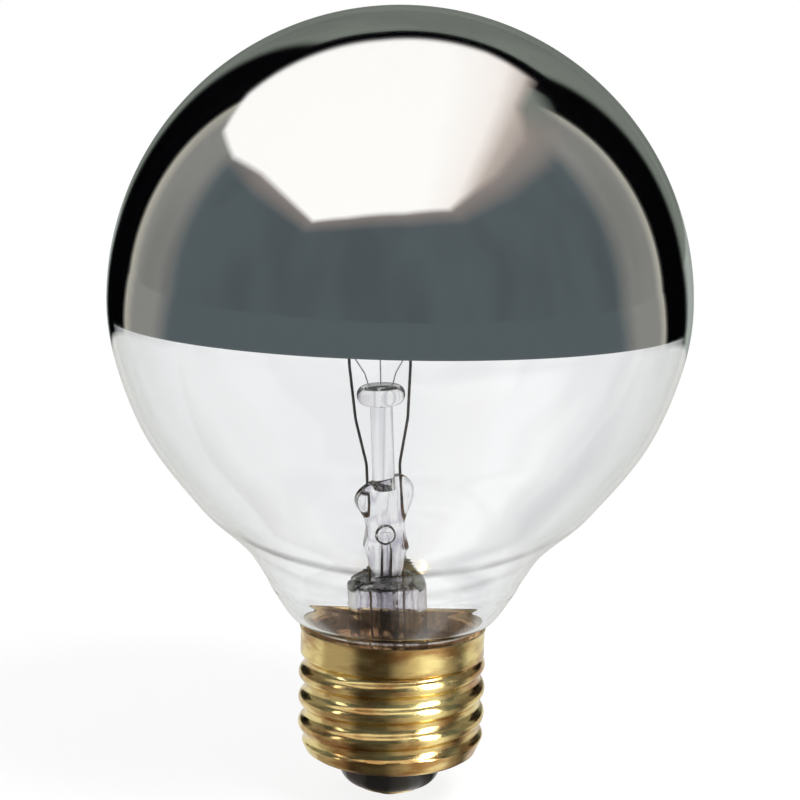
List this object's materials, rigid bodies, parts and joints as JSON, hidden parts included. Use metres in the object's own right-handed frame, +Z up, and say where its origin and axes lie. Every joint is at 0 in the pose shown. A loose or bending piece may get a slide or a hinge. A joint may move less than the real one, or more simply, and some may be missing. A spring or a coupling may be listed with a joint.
{
  "type": "silver crown globe light bulb",
  "caption": "Clear round globe lamp with its upper half mirrored inside, a coiled filament on a glass mount, and a brass screw cap with a rolled thread.",
  "frame": {"origin": "middle of the centre contact's flat, the lowest point, on the axis of the cap and globe", "axes": "+Z up the lamp's axis from the screw cap to the crown; -Y towards the picture's camera"},
  "size_m": [0.0794, 0.0794, 0.1095],
  "materials": {
    "clear_glass": "clear polished glass",
    "stem_glass": "clear drawn glass",
    "mirror_silver": "vapour-coated mirror",
    "brass_sheet": "bright rolled brass",
    "eyelet_brass": "pressed brass",
    "black_glass": "glossy black glass",
    "solder": "dull tin solder",
    "cement": "matt baked cement",
    "nickel_wire": "drawn nickel wire",
    "copper_clad_wire": "copper-clad wire",
    "lead_wire": "tinned copper wire",
    "support_metal": "drawn molybdenum wire",
    "filament_metal": "coiled tungsten wire"
  },
  "bodies": {
    "root": {"globe_glass": "clear_glass", "silver_crown": "mirror_silver", "mount_stem": "stem_glass", "exhaust_tube": "stem_glass", "glass_rod": "stem_glass", "screw_shell": "brass_sheet", "base_insulator": "black_glass", "contact_eyelet": "eyelet_brass", "centre_solder": "solder", "side_solder": "solder", "basing_cement": "cement", "filament_coil": "filament_metal", "inner_lead_left": "nickel_wire", "inner_lead_right": "nickel_wire", "seal_wire_left": "copper_clad_wire", "seal_wire_right": "copper_clad_wire", "centre_lead": "lead_wire", "side_lead": "lead_wire", "support_wire_1": "support_metal", "support_wire_2": "support_metal", "support_wire_3": "support_metal"}
  },
  "joints": []
}
